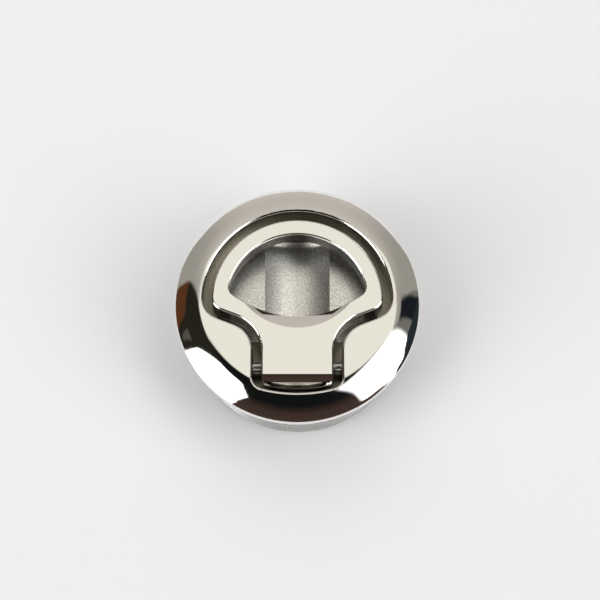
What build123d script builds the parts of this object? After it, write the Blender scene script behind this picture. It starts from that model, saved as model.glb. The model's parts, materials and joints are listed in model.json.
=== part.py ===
from build123d import *
import os
from math import asin, cos, degrees, radians, sin, sqrt, tan

# Round flush pull latch, cast stainless, for a panel hole of about 55 mm.
# Millimetres. The origin is on the barrel's axis, on the panel face under the flange.
# +Z points out of the panel and +Y towards the ring of the handle and the bolt.

os.makedirs("parts", exist_ok=True)

# Flange and barrel, both sized from the well's radius
rim_height = 1.3
rim_width = 5.6
plateau_land = 1.6
plateau_z = 4.5
cone_bulge = 0.25
flange_overhang = 4.2
barrel_wall = 2.5
barrel_depth = 24.0

# Keyhole well and the handle in it
well_r = 23.8
stem_half_width = 11.25
shoulder_y = -3.1
neck_y = -7.9
well_bottom_sweep_r = 35.0
shoulder_corner_r = 5.5
neck_r = 7.5
bottom_corner_r = 3.2
handle_gap = 2.2
handle_thickness = 5.8
ledge_gap = 0.4
ledge_width = 3.4
ledge_end_y = -4.0
floor_z = -7.2
trough_width = 16.6
trough_depth = 2.0
trough_inset = 1.0
floor_thickness = 1.8

# Finger opening in the handle
ring_width = 3.9
lens_low_y = -3.6
lens_low_r = 28.0
lens_corner_r = 2.5
scoop_low_y = -7.1
scoop_inset = 1.0
scoop_slope = 35.0
scoop_margin = 1.0

# Hinge and arm
hinge_inset = 8.3
hinge_z = -2.5
pin_r = 1.5
pin_half_length = 15.0
pin_clearance = 0.06
hub_r = 3.6
heel_r = 7.9
heel_relief = 0.35
heel_lip = 1.0
lug_outer_width = 1.8
lug_centre_half = 3.2
arm_length = 7.0
arm_tip_r = 1.5
arm_half_width = 2.8
handle_travel = 45.0
clearance = 0.3
play = 0.5
skin = 0.001

# Rocker that turns the arm's push round
rocker_z = -14.0
rocker_top_r = 5.0
rocker_low_r = 7.0
rocker_tip_r = 1.4
rocker_hub_r = 2.6
rocker_half_width = 2.6
rocker_neck_half = 1.15
rocker_pin_r = 1.25
rocker_pin_half = 5.2
cheek_thickness = 2.4
cheek_r = 2.9

# Bolt
bolt_half_width = 6.5
bolt_height = 9.3
bolt_tail_height = 4.6
bolt_foot_gap = 0.3
bolt_overhang = 3.0
bolt_tip_height = 1.6
bolt_block_offset = 8.0
bolt_tail_offset = 1.9
ear_half_width = 8.6
ear_length = 3.0

# Bolt spring, its guide and stops
spring_r = 3.3
spring_wire_r = 0.45
spring_pitch = 2.0875
post_offset = 15.5
post_thickness = 2.4
post_half_width = 3.0
spring_seat_inset = 6.8
guide_r = 1.7
window_half_width = 3.9
bumper_thickness = 1.0
channel_wall = 2.0
liner_thickness = 1.0
liner_inset = 12.9
liner_length = 7.8

# Rubber pads under the stem
bumper_r = 1.3
bumper_sink = 1.8
bumper_x = 7.2
bumper_offset = 6.1
bumper_gap = 0.1

# Return springs on the hinge pin
coil_r = 2.7
coil_wire_r = 0.4
coil_turns = 2.5
coil_turn = -12.0
floor_leg = 4.4
handle_leg = 2.6
coil_pitch = 0.95

# Rear cover and its fixings
gasket_thickness = 0.5
cover_thickness = 1.5
cover_inset = 0.6
boss_inset = 3.23
boss_r = 3.6
screw_r = 1.2
screw_head_r = 2.4
screw_length = 7.0
screw_recess_r = 0.7

# Panel clamping parts
flange_gasket_thickness = 1.0
flange_gasket_width = 2.6
washer_thickness = 1.0
washer_width = 2.2
nut_height = 4.0
nut_width = 2.4
nut_fit = 0.12
nut_notches = 6
nut_notch_depth = 2.6
nut_notch_width = 4.4

# Rounded edges
rim_edge_r = 0.6
plateau_blend_r = 12.0
mouth_edge_r = 0.6
handle_edge_r = 0.5
lens_edge_r = 0.35
pin_chamfer = 0.3
guide_chamfer = 0.5
nose_edge_r = 0.5
cover_edge_r = 0.5
washer_chamfer = 0.25
nut_chamfer = 0.4

# Sizes that follow from the well's radius
plateau_r = well_r + plateau_land
flange_r = plateau_r + rim_width
barrel_r = flange_r - flange_overhang
cup_r = well_r - ledge_width
trough_end_y = cup_r - trough_inset
ring_inner_r = well_r - handle_gap - ring_width
scoop_r = ring_inner_r - scoop_inset
hinge_y = hinge_inset - well_r
bumper_y = hinge_y + bumper_offset
bolt_tail_y = hinge_y + bolt_tail_offset
bolt_reach = flange_r + bolt_overhang
post_y = hinge_y + post_offset
bolt_block_start_y = post_y + bolt_block_offset
spring_seat_y = barrel_r - spring_seat_inset
liner_start_y = barrel_r - liner_inset
flange_gasket_r = barrel_r + flange_gasket_width
washer_r = barrel_r + washer_width
nut_r = barrel_r + nut_width
cover_r = barrel_r - cover_inset

# Other sizes that follow
handle_under_z = plateau_z - handle_thickness
ledge_z = handle_under_z - ledge_gap
ceiling_z = floor_z - trough_depth - floor_thickness
chamber_r = barrel_r - barrel_wall
cover_hole_spacing = (chamber_r - boss_inset) / sqrt(2)
barrel_end_z = -barrel_depth
cover_inner_z = barrel_end_z - gasket_thickness
cover_outer_z = cover_inner_z - cover_thickness
half_travel = handle_travel / 2
arm_drop = arm_length * cos(radians(half_travel))
arm_back = arm_length * sin(radians(half_travel))
rocker_y = hinge_y + arm_tip_r + rocker_tip_r + play
rocker_half_travel = degrees(asin(arm_back / rocker_top_r))
rocker_low_swing = rocker_low_r * sin(radians(rocker_half_travel))
bolt_travel = 2 * rocker_low_swing
bolt_low_z = barrel_end_z + bolt_foot_gap
bolt_top_z = bolt_low_z + bolt_height
tail_top_z = bolt_low_z + bolt_tail_height
channel_half = bolt_half_width + clearance
channel_end_y = sqrt(chamber_r**2 - channel_half**2)
channel_top_z = bolt_top_z + clearance
cheek_inner = rocker_half_width + clearance
cheek_outer = cheek_inner + cheek_thickness
hub_half = stem_half_width - handle_gap
spring_z = (bolt_low_z + bolt_top_z) / 2


def keyhole(shrink):
    """Keyhole outline of the well, drawn inwards by the amount of shrink."""
    shoulder_x = sqrt(well_r**2 - shoulder_y**2)
    sweep_y = well_bottom_sweep_r - well_r
    bottom_y = sweep_y - sqrt(well_bottom_sweep_r**2 - stem_half_width**2)
    with BuildSketch() as outline:
        with BuildLine():
            ThreePointArc((-shoulder_x, shoulder_y), (0, well_r), (shoulder_x, shoulder_y))
            Line((shoulder_x, shoulder_y), (stem_half_width, neck_y))
            Line((stem_half_width, neck_y), (stem_half_width, bottom_y))
            ThreePointArc((stem_half_width, bottom_y), (0, -well_r), (-stem_half_width, bottom_y))
            Line((-stem_half_width, bottom_y), (-stem_half_width, neck_y))
            Line((-stem_half_width, neck_y), (-shoulder_x, shoulder_y))
        make_face()
        for corner_y, corner_r in (
            (bottom_y, bottom_corner_r),
            (neck_y, neck_r),
            (shoulder_y, shoulder_corner_r),
        ):
            corners = outline.vertices().filter_by_position(Axis.Y, corner_y - skin, corner_y + skin)
            fillet(corners, corner_r)
        if shrink > 0:
            offset(amount=-shrink, mode=Mode.REPLACE)
    return outline.sketch


def box_between(x_span, y_span, z_span, mode=Mode.ADD):
    """Add or cut a box given by its two limits along each axis."""
    with Locations((x_span[0], y_span[0], z_span[0])):
        Box(
            x_span[1] - x_span[0],
            y_span[1] - y_span[0],
            z_span[1] - z_span[0],
            align=(Align.MIN, Align.MIN, Align.MIN),
            mode=mode,
        )


def rod_along_x(radius, x_start, x_end, y, z, mode=Mode.ADD):
    """Add or cut a round rod parallel to the X axis."""
    with Locations(((x_start + x_end) / 2, y, z)):
        Cylinder(radius, x_end - x_start, rotation=(0, 90, 0), mode=mode)


def rod_along_y(radius, y_start, y_end, z, mode=Mode.ADD):
    """Add or cut a round rod on the middle plane, parallel to the Y axis."""
    with Locations((0, (y_start + y_end) / 2, z)):
        Cylinder(radius, y_end - y_start, rotation=(90, 0, 0), mode=mode)


# Housing: flange, well, cup and barrel in one casting
with BuildPart() as housing:
    with BuildSketch(Plane.XZ) as profile:
        with BuildLine():
            cone_mid = ((plateau_r + flange_r) / 2 + cone_bulge, (plateau_z + rim_height) / 2 + cone_bulge)
            Line((0, plateau_z), (plateau_r, plateau_z))
            ThreePointArc((plateau_r, plateau_z), cone_mid, (flange_r, rim_height))
            Polyline(
                (flange_r, rim_height),
                (flange_r, 0),
                (barrel_r, 0),
                (barrel_r, barrel_end_z),
                (0, barrel_end_z),
                (0, plateau_z),
            )
        make_face()
        fillet(profile.vertices().sort_by_distance((plateau_r, plateau_z))[0], plateau_blend_r)
        fillet(profile.vertices().sort_by_distance((flange_r, rim_height))[0], rim_edge_r)
    revolve(axis=Axis.Z)

    # Well down to the ledge, then the cup and the stem pocket down to the floor
    with BuildSketch(Plane.XY.offset(ledge_z)):
        add(keyhole(0))
    extrude(amount=plateau_z - ledge_z, mode=Mode.SUBTRACT)
    with BuildSketch(Plane.XY.offset(floor_z)):
        Circle(cup_r)
        with Locations((0, ledge_end_y)):
            Rectangle(2 * well_r, well_r, align=(Align.CENTER, Align.MAX))
        add(keyhole(0), mode=Mode.INTERSECT)
    extrude(amount=ledge_z - floor_z, mode=Mode.SUBTRACT)
    upright_faces = housing.faces().filter_by(lambda face: abs(face.normal_at().Z) < skin)
    mouth = upright_faces.edges().filter_by(lambda edge: edge.center().Z > plateau_z - mouth_edge_r)
    fillet(mouth, mouth_edge_r)

    # Relief for the heel of the handle, which swings past the end wall of the well
    heel_space = heel_r + heel_relief
    relief_half = stem_half_width - handle_gap + clearance
    with BuildSketch(Plane.YZ.offset(-relief_half)):
        with Locations((hinge_y, hinge_z)):
            Circle(heel_space)
        with Locations((hinge_y - heel_space, floor_z)):
            Rectangle(
                heel_space,
                plateau_z - heel_lip - floor_z,
                align=(Align.MIN, Align.MIN),
                mode=Mode.INTERSECT,
            )
    extrude(amount=2 * relief_half, mode=Mode.SUBTRACT)

    # Chamber behind the floor, open at the back
    with BuildSketch(Plane.XY.offset(barrel_end_z)):
        Circle(chamber_r)
    extrude(amount=ceiling_z - barrel_end_z, mode=Mode.SUBTRACT)

    # Finger trough, a shallow round groove along the middle of the cup's floor
    trough_r = (trough_width**2 / 4 + trough_depth**2) / (2 * trough_depth)
    trough_start_y = hinge_y + hub_r + clearance
    with BuildSketch(Plane.XZ.offset(-trough_end_y)):
        with Locations((0, floor_z - trough_depth + trough_r)):
            Circle(trough_r)
        with Locations((0, floor_z + skin)):
            Rectangle(
                2 * trough_width,
                2 * trough_depth,
                align=(Align.CENTER, Align.MAX),
                mode=Mode.INTERSECT,
            )
    extrude(amount=trough_end_y - trough_start_y, mode=Mode.SUBTRACT)

    # Window in the floor for the arm and the rocker
    window_low_y = hinge_y - arm_back - arm_tip_r - 2 * clearance
    window_high_y = rocker_y + arm_back + rocker_tip_r + 2 * clearance
    arm_window_half = cheek_inner + 2 * clearance
    box_between(
        (-arm_window_half, arm_window_half),
        (window_low_y, window_high_y),
        (ceiling_z, floor_z),
        Mode.SUBTRACT,
    )

    # Cheeks that carry the rocker's pin
    for side in (-1, 1):
        cheek_face = side * cheek_inner if side > 0 else -cheek_outer
        with BuildSketch(Plane.YZ.offset(cheek_face)):
            with Locations((rocker_y, rocker_z)):
                Circle(cheek_r)
            with Locations((rocker_y, rocker_z)):
                Rectangle(2 * cheek_r, ceiling_z - rocker_z, align=(Align.CENTER, Align.MIN))
        extrude(amount=cheek_thickness)
    rod_along_x(rocker_pin_r, -rocker_pin_half, rocker_pin_half, rocker_y, rocker_z, Mode.SUBTRACT)

    # Side walls of the bolt's channel, joined to the barrel wall at its exit
    stop_y = bolt_tail_y + ear_length + clearance + bumper_thickness
    for side in (-1, 1):
        wall_x = sorted((side * channel_half, side * (channel_half + channel_wall)))
        box_between(wall_x, (stop_y, channel_end_y), (barrel_end_z, ceiling_z))
    liner_half = channel_half + liner_thickness
    liner_end_y = liner_start_y + liner_length
    liner_top_z = channel_top_z + liner_thickness
    box_between(
        (-liner_half, liner_half),
        (liner_start_y, liner_end_y),
        (barrel_end_z, liner_top_z),
        Mode.SUBTRACT,
    )
    box_between(
        (-channel_half, channel_half),
        (liner_end_y, flange_r),
        (barrel_end_z, channel_top_z),
        Mode.SUBTRACT,
    )

    # Post behind the bolt spring
    box_between(
        (-post_half_width, post_half_width),
        (post_y, post_y + post_thickness),
        (barrel_end_z, ceiling_z),
    )

    # Screw bosses
    with BuildSketch(Plane.XY.offset(barrel_end_z)):
        with GridLocations(2 * cover_hole_spacing, 2 * cover_hole_spacing, 2, 2):
            Circle(boss_r)
    extrude(amount=ceiling_z - barrel_end_z)
    with BuildSketch(Plane.XY.offset(barrel_end_z)):
        with GridLocations(2 * cover_hole_spacing, 2 * cover_hole_spacing, 2, 2):
            Circle(screw_r)
    extrude(amount=screw_length, mode=Mode.SUBTRACT)

    # Hinge bore, open at one side of the barrel for the pin to go in
    rod_along_x(pin_r, -pin_half_length, barrel_r, hinge_y, hinge_z, Mode.SUBTRACT)
    # Bore in the post for the spring guide
    rod_along_y(guide_r, post_y, post_y + post_thickness, spring_z, Mode.SUBTRACT)
    # Pockets in the floor for the handle's bumpers
    with Locations((-bumper_x, bumper_y, floor_z), (bumper_x, bumper_y, floor_z)):
        Hole(bumper_r, bumper_sink)
housing.part.label = "housing"
export_step(housing.part, "parts/housing.step")

# Handle: ring, stem, hinge lugs and arm in one casting
scoop_centre_y = scoop_low_y + scoop_r
scoop_rise = scoop_r / tan(radians(scoop_slope))
scoop_ball = Pos(0, scoop_centre_y, plateau_z + scoop_rise) * Sphere(sqrt(scoop_r**2 + scoop_rise**2))
scoop_reach = Pos(0, scoop_low_y - scoop_margin, plateau_z) * Box(
    2 * well_r,
    scoop_margin - scoop_low_y + clearance,
    2 * handle_thickness,
    align=(Align.CENTER, Align.MIN, Align.CENTER),
)
scoop_cut = scoop_ball & scoop_reach

with BuildPart() as pull_handle:
    with BuildSketch(Plane.XY.offset(handle_under_z)):
        add(keyhole(handle_gap))
    extrude(amount=handle_thickness)
    fillet(pull_handle.edges().group_by(Axis.Z)[-1], handle_edge_r)
    with BuildSketch(Plane.YZ.offset(-well_r)):
        with Locations((hinge_y, hinge_z)):
            Circle(heel_r)
        with Locations((hinge_y, handle_under_z)):
            Rectangle(2 * well_r, handle_thickness, align=(Align.MIN, Align.MIN))
    extrude(amount=2 * well_r, mode=Mode.INTERSECT)

    # Finger opening and the scoop below it
    with BuildSketch(Plane.XY.offset(handle_under_z)) as lens:
        Circle(ring_inner_r)
        with Locations((0, lens_low_y + lens_low_r)):
            Circle(lens_low_r, mode=Mode.INTERSECT)
        fillet(lens.vertices(), lens_corner_r)
    extrude(amount=handle_thickness, mode=Mode.SUBTRACT)
    handle_face = pull_handle.faces().filter_by(Axis.Z).sort_by(Axis.Z)[-1]
    fillet(handle_face.inner_wires()[0].edges(), lens_edge_r)
    add(scoop_cut, mode=Mode.SUBTRACT)

    # Hinge hub, recessed on both sides of the arm for the return springs
    rod_along_x(hub_r, -hub_half, hub_half, hinge_y, hinge_z)
    coil_room = coil_r + coil_wire_r + clearance
    for side in (-1, 1):
        inner = side * lug_centre_half
        outer = side * (hub_half - lug_outer_width)
        box_between(
            (min(inner, outer), max(inner, outer)),
            (hinge_y - hub_r - clearance, hinge_y + hub_r + clearance),
            (floor_z, hinge_z + coil_room),
            Mode.SUBTRACT,
        )
    arm_tip = (hinge_y - arm_back, hinge_z - arm_drop)
    with BuildSketch(Plane.YZ.offset(-arm_half_width)):
        with Locations((hinge_y, hinge_z)):
            Circle(hub_r - clearance)
        with Locations(arm_tip):
            Circle(arm_tip_r)
        make_hull()
    extrude(amount=2 * arm_half_width)
    rod_along_x(pin_r + pin_clearance, -hub_half, hub_half, hinge_y, hinge_z, Mode.SUBTRACT)
pull_handle.part.label = "pull_handle"
export_step(pull_handle.part, "parts/pull_handle.step")

# Hinge pin, pressed into the housing at both ends
with BuildPart() as hinge_pin:
    rod_along_x(pin_r, -pin_half_length, pin_half_length, hinge_y, hinge_z)
    chamfer(hinge_pin.edges().filter_by(GeomType.CIRCLE), pin_chamfer)
hinge_pin.part.label = "hinge_pin"
export_step(hinge_pin.part, "parts/hinge_pin.step")

# Return springs: a coil round the pin, one leg on the floor and one under the handle
lug_room_middle = (lug_centre_half + hub_half - lug_outer_width) / 2
coil_length = coil_turns * coil_pitch
for name, side in (("left", -1), ("right", 1)):
    coil_start = (side * lug_room_middle - coil_length / 2, hinge_y, hinge_z)
    with BuildPart() as return_spring:
        with BuildLine():
            coil = Helix(coil_pitch, coil_length, coil_r, center=coil_start, direction=(1, 0, 0))
        for end, leg in ((0, -handle_leg), (1, floor_leg)):
            with BuildSketch(Plane(origin=coil @ end, z_dir=coil % end)):
                Circle(coil_wire_r)
            extrude(amount=leg)
        with BuildSketch(Plane(origin=coil @ 0, z_dir=coil % 0)):
            Circle(coil_wire_r)
        sweep(path=coil)
    turned = return_spring.part.rotate(Axis(coil_start, (1, 0, 0)), coil_turn)
    turned.label = f"return_spring_{name}"
    export_step(turned, f"parts/return_spring_{name}.step")

# Rubber bumpers in the floor, a hair under the stem
bumper_height = handle_under_z - bumper_gap - (floor_z - bumper_sink)
for name, side in (("left", -1), ("right", 1)):
    with BuildPart() as bumper:
        with Locations((side * bumper_x, bumper_y, floor_z - bumper_sink)):
            Cylinder(bumper_r, bumper_height, align=(Align.CENTER, Align.CENTER, Align.MIN))
    bumper.part.label = f"handle_bumper_{name}"
    export_step(bumper.part, f"parts/handle_bumper_{name}.step")

# Rocker: its top is pushed by the arm, its low end pulls the bolt back
tilt = radians(rocker_half_travel)
rocker_top = (rocker_y - rocker_top_r * sin(tilt), rocker_z + rocker_top_r * cos(tilt))
rocker_low = (rocker_y + rocker_low_r * sin(tilt), rocker_z - rocker_low_r * cos(tilt))
rocker_span = 2 * rocker_half_width
with BuildPart() as rocker:
    rod_along_x(rocker_hub_r, -rocker_half_width, rocker_half_width, rocker_y, rocker_z)
    for tip in (rocker_top, rocker_low):
        rod_along_x(rocker_tip_r, -rocker_half_width, rocker_half_width, *tip)
        with BuildSketch(Plane.YZ.offset(-rocker_half_width)):
            with Locations((rocker_y, rocker_z)):
                Circle(rocker_hub_r - rocker_neck_half)
            with Locations(tip):
                Circle(rocker_neck_half)
            make_hull()
        extrude(amount=rocker_span)
    rod_along_x(rocker_pin_r + pin_clearance, -rocker_span, rocker_span, rocker_y, rocker_z, Mode.SUBTRACT)
rocker.part.label = "rocker"
export_step(rocker.part, "parts/rocker.step")

with BuildPart() as rocker_pin:
    rod_along_x(rocker_pin_r, -rocker_pin_half, rocker_pin_half, rocker_y, rocker_z)
    chamfer(rocker_pin.edges().filter_by(GeomType.CIRCLE), pin_chamfer)
rocker_pin.part.label = "rocker_pin"
export_step(rocker_pin.part, "parts/rocker_pin.step")

# Latch bolt: nose with a slant below, spring window, tail plate, slot for the rocker and two ears
slot_near_y = rocker_low[0] - rocker_tip_r - clearance
slot_far_y = rocker_low[0] + rocker_tip_r + 3 * clearance
slot_half = rocker_half_width + clearance
with BuildPart() as latch_bolt:
    with BuildSketch(Plane.YZ.offset(-bolt_half_width)):
        with BuildLine():
            Polyline(
                (bolt_tail_y, bolt_low_z),
                (barrel_r + clearance, bolt_low_z),
                (bolt_reach, bolt_top_z - bolt_tip_height),
                (bolt_reach, bolt_top_z),
                (bolt_block_start_y, bolt_top_z),
                (bolt_block_start_y - ear_length, tail_top_z),
                (bolt_tail_y, tail_top_z),
                close=True,
            )
        make_face()
    extrude(amount=2 * bolt_half_width)
    nose_edges = latch_bolt.edges().filter_by(Axis.X).group_by(Axis.Y)[-1]
    fillet(nose_edges, nose_edge_r)
    box_between(
        (-ear_half_width, ear_half_width),
        (bolt_tail_y, bolt_tail_y + ear_length),
        (bolt_low_z, tail_top_z),
    )
    box_between((-slot_half, slot_half), (slot_near_y, slot_far_y), (bolt_low_z, tail_top_z), Mode.SUBTRACT)
    slot_rim = latch_bolt.edges().filter_by(Axis.X).filter_by(
        lambda edge: abs(edge.center().Z - tail_top_z) < clearance
        and slot_near_y - clearance < edge.center().Y < slot_far_y + clearance
    )
    chamfer(slot_rim, 2 * clearance)
    box_between(
        (-window_half_width, window_half_width),
        (post_y - play, spring_seat_y),
        (bolt_low_z, bolt_top_z),
        Mode.SUBTRACT,
    )
latch_bolt.part.label = "latch_bolt"
export_step(latch_bolt.part, "parts/latch_bolt.step")

# Liner that the bolt slides in
with BuildPart() as bolt_liner:
    box_between(
        (-liner_half, liner_half),
        (liner_start_y, liner_end_y),
        (barrel_end_z, liner_top_z),
    )
    box_between(
        (-channel_half, channel_half),
        (liner_start_y, liner_end_y),
        (barrel_end_z, channel_top_z),
        Mode.SUBTRACT,
    )
bolt_liner.part.label = "bolt_liner"
export_step(bolt_liner.part, "parts/bolt_liner.step")

# Bolt spring and the rod inside it
spring_start_y = post_y + post_thickness + spring_wire_r
spring_length = spring_seat_y - spring_wire_r - spring_start_y
with BuildPart() as bolt_spring:
    with BuildLine():
        wire = Helix(
            pitch=spring_pitch,
            height=spring_length,
            radius=spring_r - spring_wire_r,
            center=(0, spring_start_y, spring_z),
            direction=(0, 1, 0),
        )
    with BuildSketch(Plane(origin=wire @ 0, z_dir=wire % 0)):
        Circle(spring_wire_r)
    sweep()
bolt_spring.part.label = "bolt_spring"
export_step(bolt_spring.part, "parts/bolt_spring.step")

with BuildPart() as spring_guide:
    rod_along_y(guide_r, post_y, spring_seat_y - bolt_travel - 2 * clearance, spring_z)
    chamfer(spring_guide.edges().filter_by(GeomType.CIRCLE).sort_by(Axis.Y)[-1], guide_chamfer)
spring_guide.part.label = "spring_guide"
export_step(spring_guide.part, "parts/spring_guide.step")

# Pads that the bolt's ears stop against
with BuildPart() as bolt_bumpers:
    for side in (-1, 1):
        pad_x = sorted((side * channel_half, side * (channel_half + channel_wall)))
        box_between(pad_x, (stop_y - bumper_thickness, stop_y), (bolt_low_z, tail_top_z))
bolt_bumpers.part.label = "bolt_bumpers"
export_step(bolt_bumpers.part, "parts/bolt_bumpers.step")

# Rear cover with its gasket and screws
with BuildPart() as rear_cover:
    with BuildSketch(Plane.XY.offset(cover_outer_z)):
        Circle(cover_r)
    extrude(amount=cover_thickness)
    fillet(rear_cover.edges().filter_by(GeomType.CIRCLE).sort_by(Axis.Z)[0], cover_edge_r)
    with Locations(Plane(origin=(0, 0, cover_outer_z), z_dir=(0, 0, -1))):
        with GridLocations(2 * cover_hole_spacing, 2 * cover_hole_spacing, 2, 2):
            CounterSinkHole(screw_r + pin_clearance, screw_head_r + pin_clearance, cover_thickness)
rear_cover.part.label = "rear_cover"
export_step(rear_cover.part, "parts/rear_cover.step")

with BuildPart() as cover_gasket:
    with BuildSketch(Plane.XY.offset(cover_inner_z)):
        Circle(cover_r)
        Circle(chamber_r, mode=Mode.SUBTRACT)
        with GridLocations(2 * cover_hole_spacing, 2 * cover_hole_spacing, 2, 2):
            Circle(boss_r)
            Circle(screw_r + pin_clearance, mode=Mode.SUBTRACT)
    extrude(amount=gasket_thickness)
cover_gasket.part.label = "cover_gasket"
export_step(cover_gasket.part, "parts/cover_gasket.step")

head_height = screw_head_r - screw_r
with BuildPart() as screw:
    with BuildSketch(Plane.XZ):
        with BuildLine():
            Polyline(
                (0, cover_outer_z),
                (screw_head_r, cover_outer_z),
                (screw_r, cover_outer_z + head_height),
                (screw_r, barrel_end_z + screw_length - clearance),
                (0, barrel_end_z + screw_length - clearance),
                close=True,
            )
        make_face()
    revolve(axis=Axis.Z)
    with BuildSketch(Plane.XY.offset(cover_outer_z)):
        RegularPolygon(screw_recess_r, 6)
    extrude(amount=screw_recess_r, mode=Mode.SUBTRACT)
with BuildPart() as cover_screws:
    with GridLocations(2 * cover_hole_spacing, 2 * cover_hole_spacing, 2, 2):
        add(screw.part)
cover_screws.part.label = "cover_screws"
export_step(cover_screws.part, "parts/cover_screws.step")

# Gasket, washer and ring nut that clamp the latch to its panel
thread_bore_r = barrel_r + nut_fit
with BuildPart() as flange_gasket:
    with BuildSketch(Plane.XY.offset(-flange_gasket_thickness)):
        Circle(flange_gasket_r)
        Circle(thread_bore_r, mode=Mode.SUBTRACT)
    extrude(amount=flange_gasket_thickness)
flange_gasket.part.label = "flange_gasket"
export_step(flange_gasket.part, "parts/flange_gasket.step")

washer_low_z = -flange_gasket_thickness - washer_thickness
with BuildPart() as backing_washer:
    with BuildSketch(Plane.XY.offset(washer_low_z)):
        Circle(washer_r)
        Circle(thread_bore_r, mode=Mode.SUBTRACT)
    extrude(amount=washer_thickness)
    chamfer(backing_washer.edges().filter_by(GeomType.CIRCLE).group_by(Axis.Z)[0], washer_chamfer)
backing_washer.part.label = "backing_washer"
export_step(backing_washer.part, "parts/backing_washer.step")

with BuildPart() as ring_nut:
    with BuildSketch(Plane.XY.offset(washer_low_z - nut_height)):
        Circle(nut_r)
        Circle(thread_bore_r, mode=Mode.SUBTRACT)
    extrude(amount=nut_height)
    chamfer(ring_nut.edges().filter_by(GeomType.CIRCLE), nut_chamfer)
    with BuildSketch(Plane.XY.offset(washer_low_z - nut_height)):
        with PolarLocations(nut_r, nut_notches):
            Rectangle(nut_notch_depth, nut_notch_width)
    extrude(amount=nut_height, mode=Mode.SUBTRACT)
ring_nut.part.label = "ring_nut"
export_step(ring_nut.part, "parts/ring_nut.step")
print(f"Handle travel {handle_travel:.1f} deg, rocker {2 * rocker_half_travel:.2f} deg")
print(f"Bolt travel {bolt_travel:.3f} mm")
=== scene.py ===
# %% [markdown]
# # Flush pull latch in polished cast steel
#
# The latch lies on its back on a pale table and is seen almost straight from
# above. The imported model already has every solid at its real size, so this
# script adds what a solid can't say: the thread on the barrel, the finish of
# each metal, rubber and plastic part, and the studio that the polish mirrors.

import json
from math import cos, pi, radians, sin

import bpy
import numpy as np
from mathutils import Matrix, Vector


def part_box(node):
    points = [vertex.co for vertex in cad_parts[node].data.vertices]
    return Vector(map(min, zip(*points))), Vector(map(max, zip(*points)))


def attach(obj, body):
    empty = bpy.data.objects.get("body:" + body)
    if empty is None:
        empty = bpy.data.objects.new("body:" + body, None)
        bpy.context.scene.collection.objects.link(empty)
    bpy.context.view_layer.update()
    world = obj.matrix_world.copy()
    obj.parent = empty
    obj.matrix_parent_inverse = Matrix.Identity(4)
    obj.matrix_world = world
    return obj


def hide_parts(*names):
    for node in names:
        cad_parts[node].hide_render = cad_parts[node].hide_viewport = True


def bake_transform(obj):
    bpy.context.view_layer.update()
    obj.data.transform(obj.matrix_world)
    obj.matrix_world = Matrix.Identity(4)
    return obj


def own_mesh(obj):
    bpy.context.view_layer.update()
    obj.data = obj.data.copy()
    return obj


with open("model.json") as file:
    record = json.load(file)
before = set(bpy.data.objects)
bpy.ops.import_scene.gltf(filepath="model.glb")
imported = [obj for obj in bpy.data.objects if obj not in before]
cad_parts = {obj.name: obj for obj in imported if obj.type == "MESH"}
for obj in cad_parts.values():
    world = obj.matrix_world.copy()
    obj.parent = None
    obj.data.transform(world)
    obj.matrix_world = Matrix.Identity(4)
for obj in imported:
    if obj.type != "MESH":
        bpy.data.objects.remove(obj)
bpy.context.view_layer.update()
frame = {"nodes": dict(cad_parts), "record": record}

# %% [markdown]
# ## Sizes that the pieces share
#
# A node's box gives its limits in metres, so nothing is measured twice. The lower
# ends of the barrel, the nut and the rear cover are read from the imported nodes,
# and the barrel's radius from its mount.

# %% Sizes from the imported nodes
MM = 0.001
barrel_mount = next(mount for mount in frame["record"]["mounts"] if mount["name"] == "barrel")
barrel_r = barrel_mount["dims"]["r_mm"] * MM
barrel_end_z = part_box("housing")[0][2]
nut_low_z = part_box("ring_nut")[0][2]
table_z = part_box("rear_cover")[0][2]
print(f"barrel radius {barrel_r / MM:.1f} mm, table at {table_z / MM:.1f} mm")


# %% [markdown]
# ## Small helpers for shader nodes
#
# Every finish below is a handful of nodes. These helpers make a node, set its
# sockets and link it in one line, so that each finish reads as a recipe.

# %% Node helpers
def add_node(tree, kind, operation=None, **values):
    """A node of that kind, with its operation and the inputs named in values set."""
    node = tree.nodes.new(kind)
    if operation:
        node.operation = operation
    for name, value in values.items():
        key = int(name[1:]) if name.startswith("_") else name
        if isinstance(value, bpy.types.NodeSocket):
            tree.links.new(value, node.inputs[key])
        else:
            node.inputs[key].default_value = value
    return node


def math(tree, operation, first, second=0.0):
    """The result of one Math node."""
    return add_node(tree, "ShaderNodeMath", operation, _0=first, _1=second).outputs[0]


def band(tree, value, low, high):
    """0 below low, 1 above high, and a smooth step between them."""
    node = add_node(tree, "ShaderNodeMapRange", _0=value, _1=low, _2=high)
    node.interpolation_type = "SMOOTHSTEP"
    return node.outputs[0]


def mixed_colour(tree, factor, first, second):
    """first where factor is 0, second where it is 1."""
    node = tree.nodes.new("ShaderNodeMix")
    node.data_type = "RGBA"
    for socket, value in ((node.inputs[0], factor), (node.inputs[6], first), (node.inputs[7], second)):
        if isinstance(value, bpy.types.NodeSocket):
            tree.links.new(value, socket)
        elif socket.type == "RGBA":
            socket.default_value = (*value, 1.0)
        else:
            socket.default_value = value
    return node.outputs[2]


def noise(tree, position, scale, detail=3.0):
    """Fine or coarse noise, 0 to 1, on the piece's own coordinates."""
    node = add_node(tree, "ShaderNodeTexNoise", Vector=position, Scale=scale, Detail=detail)
    return node.outputs["Factor"] if "Factor" in node.outputs else node.outputs["Fac"]


def new_finish(name):
    """An empty material: its node tree, its Principled node and the piece's own coordinates."""
    material = bpy.data.materials.new(name)
    material.use_nodes = True
    tree = material.node_tree
    shader = next(node for node in tree.nodes if node.type == "BSDF_PRINCIPLED")
    position = tree.nodes.new("ShaderNodeTexCoord").outputs["Object"]
    return material, tree, shader, position


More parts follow.
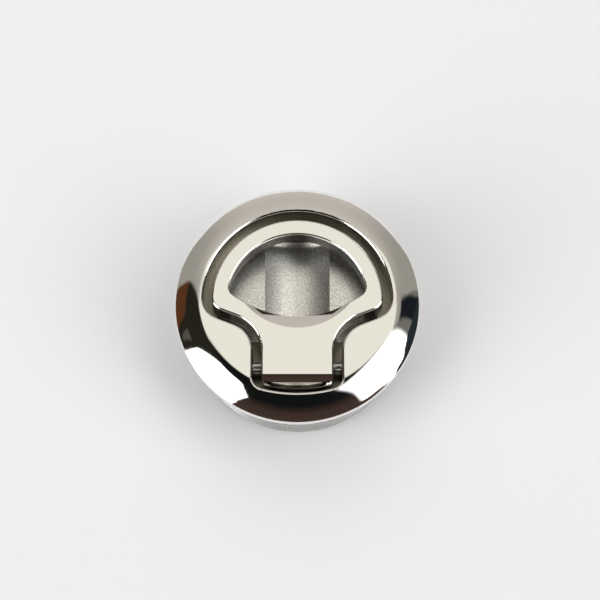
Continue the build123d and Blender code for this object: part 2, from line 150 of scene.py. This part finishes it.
def relief(tree, shader, height, distance, strength=1.0):
    """A bump of that depth in metres on the shader's normal."""
    bump = add_node(tree, "ShaderNodeBump", Height=height, Distance=distance, Strength=strength)
    tree.links.new(bump.outputs[0], shader.inputs["Normal"])


print("node helpers ready")


# %% [markdown]
# ## Polished castings
#
# The housing and the handle are cast and then mirror-polished wherever a buffing
# wheel reaches. It doesn't reach down into the finger cup or under the flange, so
# the cup's floor and the barrel keep a bright sand-cast grain. The narrow gap
# round the handle and the ring's inner wall are dull, and their colour is painted
# dark to stand for the shade that falls into them. Masks made from each piece's
# own coordinates pick those areas, and everything else stays a near mirror.

# %% Well masks
well_inner_r = 23.75 * MM
cup_edge_r = 20.25 * MM
stem_start_y = -7.4 * MM
polish_depth_z = 3.9 * MM
ring_middle_r = 19.65 * MM
scoop_half = 10.6 * MM
scoop_high_y = -3.3 * MM
heel_start_y = -18.4 * MM
barrel_start_r = 25.0 * MM
mask_edge = 0.1 * MM


def coordinates(tree, position):
    """The three coordinates of a point and its distance from the Z axis."""
    x, y, z = add_node(tree, "ShaderNodeSeparateXYZ", Vector=position).outputs
    square = math(tree, "ADD", math(tree, "MULTIPLY", x, x), math(tree, "MULTIPLY", y, y))
    return x, y, z, math(tree, "SQRT", square)


def housing_masks(tree, position):
    """The unpolished well and barrel, and the gap round the handle in that well, whose
    colour is painted shade.
    """
    _, y, z, radius = coordinates(tree, position)
    below = band(tree, z, polish_depth_z, polish_depth_z - 2 * mask_edge)
    inside = band(tree, radius, well_inner_r + mask_edge, well_inner_r)
    well = math(tree, "MULTIPLY", below, inside)
    outer = band(tree, radius, cup_edge_r, cup_edge_r + mask_edge)
    stem = band(tree, y, stem_start_y, stem_start_y - mask_edge)
    gap = math(tree, "MULTIPLY", well, math(tree, "MAXIMUM", outer, stem))
    under_flange = band(tree, z, -mask_edge, -3 * mask_edge)
    outside = band(tree, radius, barrel_start_r, barrel_start_r + mask_edge)
    barrel = math(tree, "MULTIPLY", under_flange, outside)
    return math(tree, "MAXIMUM", well, barrel), gap


def handle_masks(tree, position):
    """The handle's walls below its polished face, whose colour is painted shade, and among them
    the outer ones, which take the gap's painted shade.
    """
    x, y, z, radius = coordinates(tree, position)
    below = band(tree, z, polish_depth_z, polish_depth_z - 2 * mask_edge)
    before_heel = band(tree, y, heel_start_y - mask_edge, heel_start_y)
    beside = band(tree, math(tree, "ABSOLUTE", x), scoop_half - mask_edge, scoop_half)
    above = band(tree, y, scoop_high_y - mask_edge, scoop_high_y)
    stem = band(tree, y, stem_start_y, stem_start_y - mask_edge)
    off_scoop = math(tree, "MAXIMUM", beside, math(tree, "MAXIMUM", above, stem))
    wall = math(tree, "MULTIPLY", below, math(tree, "MULTIPLY", off_scoop, before_heel))
    ring = band(tree, radius, ring_middle_r, ring_middle_r + mask_edge)
    neck = math(tree, "SUBTRACT", 1.0, above)
    outer = math(tree, "MULTIPLY", wall, math(tree, "MAXIMUM", ring, neck))
    return wall, outer


print("well masks ready")

# %% Polished steel
MIRROR = (0.90, 0.885, 0.86)
CUP_LIGHT = (0.97, 0.955, 0.92)
CUP_SPECK = (0.70, 0.68, 0.635)
# Painted shade: the handle's unpolished inner ring wall keeps a cast grain of two shades, both painted
# very dark for the shade inside the ring.
WALL_PAINTED_SHADE_LIGHT = (0.11, 0.105, 0.09)
WALL_PAINTED_SHADE_SPECK = (0.05, 0.047, 0.04)
# Painted shade: the colour of the narrow gap round the handle, darkened for the shade that falls into
# it.
GAP_PAINTED_SHADE = (0.24, 0.225, 0.18)
mirror_roughness = 0.02
haze_roughness = 0.03
haze_scale = 90.0
grain_scale = 2400.0
grain_low, grain_high = 0.42, 0.58
grain_depth = 0.05 * MM


def polished_steel(name, masks, dull_shades, dull_roughness, gap_roughness, grain_strength):
    """Mirror finish. Where the first mask is 1 it takes a grain of two shades and dull_roughness
    is added. Where the second is 1 as well its colour is painted dark for shade, and
    gap_roughness is added to that."""
    material, tree, shader, position = new_finish(name)
    dull, gap = masks(tree, position)
    haze = noise(tree, position, haze_scale)
    grain = noise(tree, position, grain_scale, 4.0)
    speckle = mixed_colour(tree, band(tree, grain, grain_low, grain_high), *dull_shades)
    # Where the gap mask is 1 the colour is painted shade.
    colour = mixed_colour(tree, gap, mixed_colour(tree, dull, MIRROR, speckle), GAP_PAINTED_SHADE)
    tree.links.new(colour, shader.inputs["Base Color"])
    polish = math(tree, "ADD", math(tree, "MULTIPLY", haze, haze_roughness), mirror_roughness)
    cast = math(tree, "ADD", polish, math(tree, "MULTIPLY", dull, dull_roughness))
    rough = math(tree, "ADD", cast, math(tree, "MULTIPLY", gap, gap_roughness))
    tree.links.new(rough, shader.inputs["Roughness"])
    shader.inputs["Metallic"].default_value = 1.0
    relief(tree, shader, math(tree, "MULTIPLY", grain, dull), grain_depth, grain_strength)
    return material


polished_housing = polished_steel(
    "polished_housing",
    housing_masks,
    (CUP_SPECK, CUP_LIGHT),
    dull_roughness=0.25,
    gap_roughness=0.0,
    grain_strength=0.8,
)
# The handle's unpolished walls take painted shade in their grain, and its outer walls and neck the
# gap's painted shade.
polished_handle = polished_steel(
    "polished_handle",
    handle_masks,
    (WALL_PAINTED_SHADE_SPECK, WALL_PAINTED_SHADE_LIGHT),
    dull_roughness=0.50,
    gap_roughness=-0.25,
    grain_strength=0.6,
)
print("finishes:", polished_housing.name, polished_handle.name)

# %% [markdown]
# ## Plain steel, rubber and acetal
#
# The pins, springs, bolt, cover, washer and nut are turned, drawn or rolled
# stainless, duller than the casting and streaked along one way. The gaskets and
# pads are black rubber with a dry, dusty skin, and the bolt's liner is natural
# acetal, a waxy off-white plastic.

# %% Plain steel
STREAK_LIGHT = (0.66, 0.66, 0.65)
STREAK_DARK = (0.56, 0.56, 0.555)
streak_scale = (60.0, 1400.0, 1400.0)
satin_scale = 70.0
satin_roughness = 0.22
satin_change = 0.10
streak_depth = 0.01 * MM


def plain_steel():
    """Satin stainless with fine streaks along X, from noise stretched that way."""
    material, tree, shader, position = new_finish("plain_steel")
    stretched = add_node(tree, "ShaderNodeMapping", Vector=position, Scale=streak_scale)
    streaks = noise(tree, stretched.outputs[0], 1.0, 2.0)
    cloud = noise(tree, position, satin_scale)
    colour = mixed_colour(tree, streaks, STREAK_LIGHT, STREAK_DARK)
    tree.links.new(colour, shader.inputs["Base Color"])
    rough = math(tree, "ADD", math(tree, "MULTIPLY", cloud, satin_change), satin_roughness)
    tree.links.new(rough, shader.inputs["Roughness"])
    shader.inputs["Metallic"].default_value = 1.0
    relief(tree, shader, streaks, streak_depth, 0.3)
    return material


plain = plain_steel()
print("finish:", plain.name)


# %% Rubber and acetal
RUBBER_DARK, RUBBER_LIGHT = (0.022, 0.022, 0.023), (0.045, 0.045, 0.046)
ACETAL_DARK, ACETAL_LIGHT = (0.80, 0.79, 0.75), (0.88, 0.87, 0.83)
mottle_scale = 220.0
skin_change = 0.15


def moulded(name, low, high, roughness, grain_scale, depth):
    """A moulded finish: two near shades mixed by noise, and a fine skin texture."""
    material, tree, shader, position = new_finish(name)
    cloud = noise(tree, position, mottle_scale)
    skin = noise(tree, position, grain_scale, 2.0)
    tree.links.new(mixed_colour(tree, cloud, low, high), shader.inputs["Base Color"])
    rough = math(tree, "ADD", math(tree, "MULTIPLY", skin, skin_change), roughness)
    tree.links.new(rough, shader.inputs["Roughness"])
    relief(tree, shader, skin, depth, 0.4)
    return material


rubber = moulded("black_rubber", RUBBER_DARK, RUBBER_LIGHT, 0.62, 1800.0, 0.05 * MM)
acetal = moulded("acetal", ACETAL_DARK, ACETAL_LIGHT, 0.38, 900.0, 0.02 * MM)
print("finishes:", rubber.name, acetal.name)

# %% Give each node its finish
finishes = {
    "polished_steel": polished_housing,
    "plain_steel": plain,
    "black_rubber": rubber,
    "acetal": acetal,
}
for subpart in frame["record"]["subparts"]:
    node = frame["nodes"][subpart["node"]]
    for material_slot in node.material_slots:
        material_slot.material = finishes[subpart["material_slot"]]
for material_slot in frame["nodes"]["pull_handle"].material_slots:
    material_slot.material = polished_handle

# %% [markdown]
# ## Barrel thread
#
# The ring nut runs on a fine thread round the barrel. A thread is a small
# rounded ridge carried along a helix, so the surface is a grid with one direction
# along the helix and one round the ridge's section. The ridge sinks into the
# barrel at its ends, as a cut thread runs out. It also stops on both sides of the
# window that the bolt comes through, so the helix is built in several runs.

# %% Thread surface
thread_pitch = 1.0 * MM
thread_height = 0.30 * MM
thread_root = 0.15 * MM
ridge_half = 0.36 * thread_pitch
run_out = pi / 12
steps_per_turn = 96
section_points = 10
window_half, _, window_top_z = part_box("bolt_liner")[1]


def thread_runs(root_r, top_z, low_z):
    """Turn angles of the helix, split into the runs that miss the bolt's window."""
    turns = (top_z - low_z) / thread_pitch
    along = np.linspace(0.0, turns * 2 * pi, int(turns * steps_per_turn) + 1)
    over_window = (np.abs(np.cos(along)) * root_r < window_half) & (np.sin(along) > 0)
    below_top = top_z - thread_pitch * along / (2 * pi) < window_top_z
    clear = np.flatnonzero(~(over_window & below_top))
    breaks = np.flatnonzero(np.diff(clear) > 1) + 1
    return [along[run] for run in np.split(clear, breaks)]


def thread_ridge(root_r, top_z, along):
    """Point on turn angle a and section angle s: radius root_r - root + swell(a) * (height
    + root) * (1 + cos s) / 2, height top_z - pitch * a / 2pi + ridge_half * sin s."""
    around = np.arange(section_points) * 2 * pi / section_points
    a, s = np.meshgrid(along, around, indexing="ij")
    from_end = np.minimum(along - along[0], along[-1] - along)
    swell = np.clip(from_end / run_out, 0.0, 1.0)[:, None]
    radius = root_r - thread_root + swell * (thread_height + thread_root) * (1 + np.cos(s)) / 2
    x = radius * np.cos(a)
    y = radius * np.sin(a)
    z = top_z - thread_pitch * a / (2 * pi) + ridge_half * np.sin(s)
    return np.stack([x, y, z], axis=-1)


def closed_strips(name, grids):
    """A mesh of grids that each wrap in their second direction, with a cap on each end."""
    points, faces = [], []
    for grid in grids:
        rows, columns = grid.shape[:2]
        index = np.arange(rows * columns).reshape(rows, columns) + len(points)
        ahead = np.roll(index, -1, axis=1)
        quads = np.stack([index[:-1], index[1:], ahead[1:], ahead[:-1]], axis=-1)
        faces += quads.reshape(-1, 4).tolist() + [index[0].tolist(), index[-1][::-1].tolist()]
        points += grid.reshape(-1, 3).tolist()
    mesh = bpy.data.meshes.new(name)
    mesh.from_pydata(points, [], faces)
    mesh.shade_smooth()
    piece = bpy.data.objects.new(name, mesh)
    bpy.context.collection.objects.link(piece)
    return piece


thread_top_z = nut_low_z - thread_pitch
thread_low_z = barrel_end_z + thread_pitch
runs = thread_runs(barrel_r, thread_top_z, thread_low_z)
ridges = [thread_ridge(barrel_r, thread_top_z, run) for run in runs]
barrel_thread = closed_strips("barrel_thread", ridges)
barrel_thread.data.materials.append(plain)
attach(barrel_thread, "housing")
print(len(runs), "runs of thread with", len(barrel_thread.data.polygons), "faces")

# %% [markdown]
# ## Springs
#
# The three springs are drawn again as round wire carried along a path. The bolt's
# compression spring has two closed end coils and goes with the housing. Each
# torsion spring on the hinge pin has one leg under the handle and one on the floor
# of the well. They stand where the imported springs stand.

# %% Spring wire
steps_per_coil = 48
wire_points = 12


def smooth_step(value, low, high):
    """0 below low, 1 above high and 3u^2 - 2u^3 between them."""
    u = np.clip((value - low) / (high - low), 0.0, 1.0)
    return u * u * (3 - 2 * u)


def wire_along(path, axis, wire_r):
    """Point on path step i and section angle s: path(i) + wire_r * (cos s * N + sin s * B),
    with T the path's direction, N = T x axis and B = N x T, all of length 1."""
    tangent = np.gradient(path, axis=0)
    tangent /= np.linalg.norm(tangent, axis=1, keepdims=True)
    normal = np.cross(tangent, axis)
    normal /= np.linalg.norm(normal, axis=1, keepdims=True)
    binormal = np.cross(normal, tangent)
    s = (np.arange(wire_points) * 2 * pi / wire_points)[None, :, None]
    return path[:, None] + wire_r * (np.cos(s) * normal[:, None] + np.sin(s) * binormal[:, None])


print("spring wire ready")

# %% Bolt spring
bolt_wire_r = 0.45 * MM
bolt_coils = 8
closed_pitch = 0.93 * MM
closed_until, open_from = 0.75, 1.25
end_room = 0.02 * MM


def bolt_spring_path(low, high):
    """Circle in X and Z while Y climbs by a pitch that is small in the first and last coil and
    the same in all the coils between them. It fills the box from low to high."""
    middle_x, middle_z = (low[0] + high[0]) / 2, (low[2] + high[2]) / 2
    start_y, end_y = low[1] + end_room + bolt_wire_r, high[1] - end_room - bolt_wire_r
    coil = np.linspace(0.0, bolt_coils, bolt_coils * steps_per_coil + 1)
    open_share = smooth_step(np.minimum(coil, bolt_coils - coil), closed_until, open_from)
    step = 1.0 / steps_per_coil
    closed_rise = closed_pitch * coil
    open_rise = np.concatenate([[0.0], np.cumsum((open_share[1:] + open_share[:-1]) / 2) * step])
    open_rise *= (end_y - start_y - closed_rise[-1]) / open_rise[-1]
    coil_r = (high[0] - low[0]) / 2 - bolt_wire_r
    x = middle_x + coil_r * np.cos(2 * pi * coil)
    z = middle_z + coil_r * np.sin(2 * pi * coil)
    return np.stack([x, start_y + closed_rise + open_rise, z], axis=-1)


spring_low, spring_high = (np.array(corner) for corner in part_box("bolt_spring"))
bolt_path = bolt_spring_path(spring_low, spring_high)
bolt_coil = closed_strips("bolt_spring_coil", [wire_along(bolt_path, (0.0, 1.0, 0.0), bolt_wire_r)])
bolt_coil.data.materials.append(plain)
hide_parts("bolt_spring")
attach(bolt_coil, "housing")
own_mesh(bolt_coil)

# %% Return springs
return_wire_r = 0.4 * MM
return_coil_r = 2.7 * MM
return_pitch = 0.95 * MM
return_coils = 2.5
handle_leg = 2.6 * MM
floor_leg = 4.4 * MM
first_turn = radians(78.0)
leg_steps = 12
hinge_low, hinge_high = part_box("hinge_pin")
hinge_y = (hinge_low[1] + hinge_high[1]) / 2
hinge_z = (hinge_low[2] + hinge_high[2]) / 2


def return_spring_path(start_x):
    """Turn a of the coil: x climbs by the pitch, y and z go round the hinge. Its direction there
    is (pitch / 2pi, -r sin a, r cos a), and a straight leg carries on that way from each end."""
    turn = np.linspace(0.0, return_coils * 2 * pi, int(return_coils * steps_per_coil) + 1)
    x = start_x + return_pitch * turn / (2 * pi)
    y = hinge_y + return_coil_r * np.cos(first_turn + turn)
    z = hinge_z + return_coil_r * np.sin(first_turn + turn)
    coil = np.stack([x, y, z], axis=-1)
    ahead = np.stack([np.full_like(turn, return_pitch / (2 * pi)), hinge_z - z, y - hinge_y], axis=-1)
    ahead /= np.linalg.norm(ahead, axis=1, keepdims=True)
    lengths = np.linspace(1.0, 0.0, leg_steps, endpoint=False)[:, None]
    above = coil[0] - lengths * handle_leg * ahead[0]
    below = coil[-1] + lengths[::-1] * floor_leg * ahead[-1]
    return np.concatenate([above, coil, below])


for node_name in ("return_spring_left", "return_spring_right"):
    slant = return_pitch / (2 * pi * return_coil_r)
    start_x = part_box(node_name)[0][0] + return_wire_r + handle_leg * slant
    path = return_spring_path(start_x)
    coil = closed_strips(f"{node_name}_coil", [wire_along(path, (1.0, 0.0, 0.0), return_wire_r)])
    coil.data.materials.append(plain)
    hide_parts(node_name)
    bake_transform(coil)
    print(coil.name, "has", len(coil.data.polygons), "faces")

# %% [markdown]
# ## Table
#
# The latch lies on a plain pale table. It is a large plane with a matt, slightly
# uneven white finish.

# %% Table
TABLE_DARK, TABLE_LIGHT = (0.875, 0.88, 0.905), (0.905, 0.91, 0.935)
table_half = 3.0
table_cloud_scale = 3.0


def pale_table():
    """A matt pale finish with a faint unevenness."""
    material, tree, shader, position = new_finish("pale_table")
    cloud = noise(tree, position, table_cloud_scale)
    tree.links.new(mixed_colour(tree, cloud, TABLE_DARK, TABLE_LIGHT), shader.inputs["Base Color"])
    shader.inputs["Roughness"].default_value = 0.9
    shader.inputs["Specular IOR Level"].default_value = 0.1
    return material


table_mesh = bpy.data.meshes.new("table")
corner_signs = ((-1, -1), (1, -1), (1, 1), (-1, 1))
corners = [(x * table_half, y * table_half, table_z) for x, y in corner_signs]
table_mesh.from_pydata(corners, [], [(0, 1, 2, 3)])
table = bpy.data.objects.new("table", table_mesh)
bpy.context.collection.objects.link(table)
table.data.materials.append(pale_table())
print("table at", round(table_z, 4))

# %% [markdown]
# ## Studio
#
# Polished metal has no look of its own: it shows the room. The room here is a
# world of soft colour with cards laid over it. Behind the latch it is a pale
# taupe wall that grows cream overhead, and in front of it, where the camera
# stands, it is dark. Two large white softboxes lean in from the front left and
# the front right, dark furniture stands at both sides, and low dark cards draw
# the right edge of the rim. The flange is a shallow dome, so each card shows as a
# curved patch near its rim. A card is a flat polygon seen from the latch. Each
# edge and the latch span a plane, and a direction is on the card where it lies on
# the inner side of all those planes. A corner that bends inwards trims the card.

# %% Studio helpers
def card_mask(tree, direction, corners, soft):
    """1 on the card and 0 off it, with an edge that fades over soft, an angle in radians."""
    points = [Vector(corner).normalized() for corner in corners]
    middle = sum(points, Vector()).normalized()
    mask = None
    for first, second in zip(points, points[1:] + points[:1]):
        normal = first.cross(second).normalized()
        normal *= 1.0 if normal.dot(middle) > 0 else -1.0
        dot = add_node(tree, "ShaderNodeVectorMath", "DOT_PRODUCT", _0=direction, _1=normal)
        inner = band(tree, dot.outputs["Value"], -soft / 2, soft / 2)
        mask = inner if mask is None else math(tree, "MULTIPLY", mask, inner)
    return mask


def ramp_over(tree, value, stops):
    """The colour at value on a ramp through those (place, colour) stops."""
    ramp = add_node(tree, "ShaderNodeValToRGB", Fac=value)
    elements = ramp.color_ramp.elements
    while len(elements) < len(stops):
        elements.new(0.5)
    for element, (place, colour) in zip(elements, stops):
        element.position = place
        element.color = (*colour, 1.0)
    return ramp.outputs[0]


print("studio helpers ready")

# %% Studio world
BACK_WALL = (
    (0.00, (0.58, 0.54, 0.50)),
    (0.40, (0.535, 0.495, 0.455)),
    (0.62, (0.545, 0.505, 0.46)),
    (0.82, (0.60, 0.565, 0.51)),
    (0.95, (0.78, 0.75, 0.67)),
)
BACK_SIDES = (
    (0.00, (0.33, 0.315, 0.28)),
    (0.70, (0.33, 0.315, 0.28)),
    (0.88, (0.20, 0.19, 0.17)),
)
FRONT_DARK = (
    (0.00, (0.80, 0.77, 0.70)),
    (0.24, (0.74, 0.70, 0.62)),
    (0.36, (0.060, 0.038, 0.031)),
    (0.66, (0.048, 0.029, 0.023)),
    (0.88, (0.006, 0.007, 0.007)),
)
CREAM = (0.885, 0.865, 0.775)
WHITE = (2.6, 2.6, 2.58)
STUDIO_CARDS = (
    (
        "ceiling",
        CREAM,
        0.06,
        (
            (-0.37, 0.215, 1), (0.42, 0.18, 1), (0.46, 0.62, 1), (-0.40, 0.57, 1),
        ),
    ),
    (
        "dark left",
        (0.018, 0.017, 0.012),
        0.04,
        (
            (-0.25, 0.0, 1), (-0.30, 0.22, 1), (-0.42, 0.34, 1), (-1.25, 0.78, 1),
            (-0.91, 0.40, 0.08), (-0.99, -0.12, 0.09),
        ),
    ),
    (
        "wooden left",
        (0.095, 0.036, 0.014),
        0.05,
        (
            (-1.30, 0.80, 1), (-0.91, 0.42, 0.10), (-0.98, 0.05, 0.10), (-1.55, 0.40, 1),
        ),
    ),
    (
        "shelf left",
        (0.085, 0.085, 0.068),
        0.04,
        (
            (-0.86, 0.10, 0.60), (-0.93, 0.05, 0.36), (-0.90, -0.02, 0.30), (-0.80, 0.0, 0.62),
        ),
    ),
    (
        "grey right",
        (0.17, 0.165, 0.15),
        0.04,
        (
            (0.60, 0.12, 1), (0.62, 0.34, 1), (0.90, 0.42, 0.36), (0.92, 0.44, 0.02),
            (0.98, -0.02, 0.12),
        ),
    ),
    (
        "dark right",
        (0.010, 0.012, 0.016),
        0.05,
        (
            (0.56, 0.20, 0.84), (0.56, 0.32, 0.81), (0.95, 0.34, 0.05), (0.98, 0.10, 0.08),
        ),
    ),
    (
        "softbox left",
        WHITE,
        0.03,
        (
            (-0.36, 0.05, 1), (-0.92, -0.10, 0.44), (-0.98, -0.14, 0.02), (-0.68, -0.73, 0.05),
            (-0.38, -0.46, 0.80), (-0.28, -0.09, 1),
        ),
    ),
    (
        "softbox right",
        WHITE,
        0.07,
        (
            (0.16, 0.16, 1), (0.36, 0.19, 1), (0.92, 0.0, 0.46), (0.90, -0.36, 0.24),
            (0.60, -0.63, 0.50), (0.19, -0.12, 1),
        ),
    ),
    (
        "dark rim right",
        (0.020, 0.026, 0.032),
        0.05,
        (
            (0.86, 0.05, 0.50), (0.93, 0.36, 0.16), (0.93, 0.36, -0.10), (0.80, -0.58, -0.02),
            (0.86, -0.40, 0.26),
        ),
    ),
    (
        "dark rim front right",
        (0.020, 0.026, 0.032),
        0.04,
        (
            (0.93, -0.30, 0.20), (0.93, -0.30, -0.08), (0.60, -0.80, -0.08),
            (0.60, -0.79, 0.17),
        ),
    ),
)
side_fade = (0.25, 0.75)
side_lean = -0.10
back_lean = 0.2
back_soft = 0.03


def studio_world():
    """A dark front, a taupe back wall that fades at its sides, and the cards laid over them."""
    world = bpy.data.worlds.new("studio")
    world.use_nodes = True
    tree = world.node_tree
    background = next(node for node in tree.nodes if node.type == "BACKGROUND")
    direction = tree.nodes.new("ShaderNodeTexCoord").outputs["Generated"]
    x, y, z = add_node(tree, "ShaderNodeSeparateXYZ", Vector=direction).outputs
    sideways = math(tree, "SUBTRACT", math(tree, "ABSOLUTE", x), math(tree, "MULTIPLY", z, side_lean))
    back = mixed_colour(
        tree,
        band(tree, sideways, *side_fade),
        ramp_over(tree, z, BACK_WALL),
        ramp_over(tree, z, BACK_SIDES),
    )
    backward = math(tree, "SUBTRACT", y, math(tree, "MULTIPLY", z, back_lean))
    behind = band(tree, backward, -back_soft, back_soft)
    colour = mixed_colour(tree, behind, ramp_over(tree, z, FRONT_DARK), back)
    for _, shade, soft, corners in STUDIO_CARDS:
        colour = mixed_colour(tree, card_mask(tree, direction, corners, soft), colour, shade)
    tree.links.new(colour, background.inputs["Color"])
    return world


bpy.context.scene.world = studio_world()
print("cards in the studio:", ", ".join(card[0] for card in STUDIO_CARDS))

# %% [markdown]
# ### Overhead lamp
#
# A wide lamp above and behind the latch lights the table, and its shadow falls
# towards the camera. It is hidden from mirror rays, so the polish doesn't show it.

# %% Overhead lamp
lamp_size = 1.5
lamp_power = 3.4
lamp_place = Vector((-0.12, 0.35, 1.0))
lamp_data = bpy.data.lights.new("overhead_lamp", "AREA")
lamp_data.shape = "SQUARE"
lamp_data.size = lamp_size
lamp_data.energy = lamp_power
lamp = bpy.data.objects.new("overhead_lamp", lamp_data)
lamp.visible_glossy = False
lamp.location = lamp_place
lamp.rotation_euler = (-lamp_place).to_track_quat("-Z", "Y").to_euler()
bpy.context.collection.objects.link(lamp)
print("lamp at", [round(value, 2) for value in lamp_place])

# %% [markdown]
# ## Camera
#
# The photograph looks down at about 72.5 degrees from the hinge side. A long lens
# at 0.6 m gives the slight spread between the flange's two edges.

# %% Camera
camera_elevation = radians(72.54)
camera_distance = 600.0 * MM
camera_offset = Vector((0.68 * MM, 1.50 * MM))
camera_lens = 142.0
camera_sensor = 36.0
right = Vector((1.0, 0.0, 0.0))
up = Vector((0.0, sin(camera_elevation), cos(camera_elevation)))
back = Vector((0.0, -cos(camera_elevation), sin(camera_elevation)))
camera_data = bpy.data.cameras.new("camera")
camera_data.lens = camera_lens
camera_data.sensor_width = camera_sensor
camera_data.clip_start = 0.01
camera = bpy.data.objects.new("camera", camera_data)
turn = Matrix((right, up, back)).transposed().to_4x4()
place = right * camera_offset.x + up * camera_offset.y + back * camera_distance
camera.matrix_world = Matrix.Translation(place) @ turn
bpy.context.collection.objects.link(camera)
bpy.context.scene.camera = camera
bpy.context.scene.view_settings.view_transform = "Standard"
print("camera at", [round(value, 3) for value in place])
